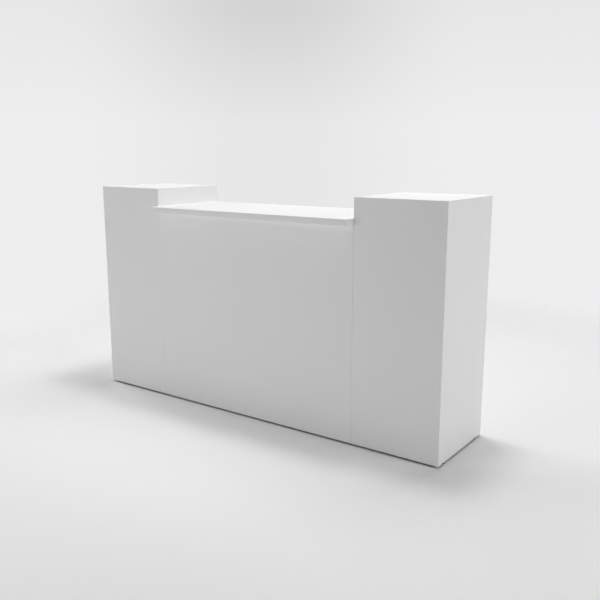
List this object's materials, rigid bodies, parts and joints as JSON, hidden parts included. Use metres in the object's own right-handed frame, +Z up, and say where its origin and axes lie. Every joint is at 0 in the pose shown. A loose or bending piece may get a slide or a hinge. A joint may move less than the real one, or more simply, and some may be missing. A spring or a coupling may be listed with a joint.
{
  "type": "bar counter",
  "caption": "Straight white bar counter: tall lockable cupboard towers at both ends, with a lower open shelf module and an overhanging countertop between them.",
  "frame": {"origin": "on the floor, under the middle of the counter with its countertop overhang and door handles", "axes": "+X along the counter to the right as customers see it, -Y towards the customers, +Y towards the staff, +Z up"},
  "size_m": [2.02, 0.539, 1.1],
  "materials": {
    "white_lacquer": "satin white lacquer on board",
    "white_melamine": "fine-textured white melamine on chipboard",
    "zinc_steel": "bright zinc plating",
    "satin_nickel": "satin nickel plating",
    "black_nylon": "moulded nylon, matt"
  },
  "bodies": {
    "carcass": {"left_front_panel": "white_lacquer", "left_outer_side_panel": "white_lacquer", "left_inner_side_panel": "white_lacquer", "left_top_panel": "white_lacquer", "left_bottom_panel": "white_melamine", "left_kick_board": "white_lacquer", "left_lower_shelf": "white_melamine", "left_upper_shelf": "white_melamine", "left_lower_hinge_frame_leaf": "zinc_steel", "left_lower_hinge_pin": "zinc_steel", "left_upper_hinge_frame_leaf": "zinc_steel", "left_upper_hinge_pin": "zinc_steel", "countertop": "white_lacquer", "middle_front_panel": "white_lacquer", "middle_left_side_panel": "white_melamine", "middle_right_side_panel": "white_melamine", "middle_top_panel": "white_melamine", "middle_divider": "white_melamine", "middle_bottom_panel": "white_melamine", "middle_kick_board": "white_lacquer", "middle_left_shelf": "white_melamine", "middle_right_shelf": "white_melamine", "right_front_panel": "white_lacquer", "right_outer_side_panel": "white_lacquer", "right_inner_side_panel": "white_lacquer", "right_top_panel": "white_lacquer", "right_bottom_panel": "white_melamine", "right_kick_board": "white_lacquer", "right_lower_shelf": "white_melamine", "right_upper_shelf": "white_melamine", "right_lower_hinge_frame_leaf": "zinc_steel", "right_lower_hinge_pin": "zinc_steel", "right_upper_hinge_frame_leaf": "zinc_steel", "right_upper_hinge_pin": "zinc_steel"},
    "left_door_leaf": {"left_door": "white_lacquer", "left_door_handle": "satin_nickel", "left_lock_housing": "satin_nickel", "left_lower_hinge_door_leaf": "zinc_steel", "left_upper_hinge_door_leaf": "zinc_steel"},
    "left_lock": {"left_lock_plug": "satin_nickel", "left_lock_cam": "zinc_steel"},
    "right_door_leaf": {"right_door": "white_lacquer", "right_door_handle": "satin_nickel", "right_lock_housing": "satin_nickel", "right_lower_hinge_door_leaf": "zinc_steel", "right_upper_hinge_door_leaf": "zinc_steel"},
    "right_lock": {"right_lock_plug": "satin_nickel", "right_lock_cam": "zinc_steel"},
    "left_outer_front_leveller": {"left_foot_outer_front": "black_nylon"},
    "left_outer_rear_leveller": {"left_foot_outer_rear": "black_nylon"},
    "left_inner_front_leveller": {"left_foot_inner_front": "black_nylon"},
    "left_inner_rear_leveller": {"left_foot_inner_rear": "black_nylon"},
    "middle_left_front_leveller": {"middle_foot_left_front": "black_nylon"},
    "middle_left_rear_leveller": {"middle_foot_left_rear": "black_nylon"},
    "middle_right_front_leveller": {"middle_foot_right_front": "black_nylon"},
    "middle_right_rear_leveller": {"middle_foot_right_rear": "black_nylon"},
    "right_inner_front_leveller": {"right_foot_inner_front": "black_nylon"},
    "right_inner_rear_leveller": {"right_foot_inner_rear": "black_nylon"},
    "right_outer_front_leveller": {"right_foot_outer_front": "black_nylon"},
    "right_outer_rear_leveller": {"right_foot_outer_rear": "black_nylon"}
  },
  "joints": [
    {"name": "left_door_swing", "type": "hinge", "parent": "carcass", "child": "left_door_leaf", "pos_m": [-0.991, 0.2419, 0.595], "axis": [0, 0, 1], "range_deg": [0, 180]},
    {"name": "right_door_swing", "type": "hinge", "parent": "carcass", "child": "right_door_leaf", "pos_m": [0.991, 0.2419, 0.595], "axis": [0, 0, -1], "range_deg": [0, 180]},
    {"name": "left_lock_turn", "type": "hinge", "parent": "left_door_leaf", "child": "left_lock", "pos_m": [-0.637, 0.2375, 0.7], "axis": [0, -1, 0], "range_deg": [0, 90]},
    {"name": "right_lock_turn", "type": "hinge", "parent": "right_door_leaf", "child": "right_lock", "pos_m": [0.637, 0.2375, 0.7], "axis": [0, 1, 0], "range_deg": [0, 90]},
    {"name": "left_outer_front_foot_screw", "type": "slide", "parent": "carcass", "child": "left_outer_front_leveller", "axis": [0, 0, -1], "range_m": [0, 0.01]},
    {"name": "left_outer_rear_foot_screw", "type": "slide", "parent": "carcass", "child": "left_outer_rear_leveller", "axis": [0, 0, -1], "range_m": [0, 0.01]},
    {"name": "left_inner_front_foot_screw", "type": "slide", "parent": "carcass", "child": "left_inner_front_leveller", "axis": [0, 0, -1], "range_m": [0, 0.01]},
    {"name": "left_inner_rear_foot_screw", "type": "slide", "parent": "carcass", "child": "left_inner_rear_leveller", "axis": [0, 0, -1], "range_m": [0, 0.01]},
    {"name": "middle_left_front_foot_screw", "type": "slide", "parent": "carcass", "child": "middle_left_front_leveller", "axis": [0, 0, -1], "range_m": [0, 0.01]},
    {"name": "middle_left_rear_foot_screw", "type": "slide", "parent": "carcass", "child": "middle_left_rear_leveller", "axis": [0, 0, -1], "range_m": [0, 0.01]},
    {"name": "middle_right_front_foot_screw", "type": "slide", "parent": "carcass", "child": "middle_right_front_leveller", "axis": [0, 0, -1], "range_m": [0, 0.01]},
    {"name": "middle_right_rear_foot_screw", "type": "slide", "parent": "carcass", "child": "middle_right_rear_leveller", "axis": [0, 0, -1], "range_m": [0, 0.01]},
    {"name": "right_inner_front_foot_screw", "type": "slide", "parent": "carcass", "child": "right_inner_front_leveller", "axis": [0, 0, -1], "range_m": [0, 0.01]},
    {"name": "right_inner_rear_foot_screw", "type": "slide", "parent": "carcass", "child": "right_inner_rear_leveller", "axis": [0, 0, -1], "range_m": [0, 0.01]},
    {"name": "right_outer_front_foot_screw", "type": "slide", "parent": "carcass", "child": "right_outer_front_leveller", "axis": [0, 0, -1], "range_m": [0, 0.01]},
    {"name": "right_outer_rear_foot_screw", "type": "slide", "parent": "carcass", "child": "right_outer_rear_leveller", "axis": [0, 0, -1], "range_m": [0, 0.01]}
  ]
}
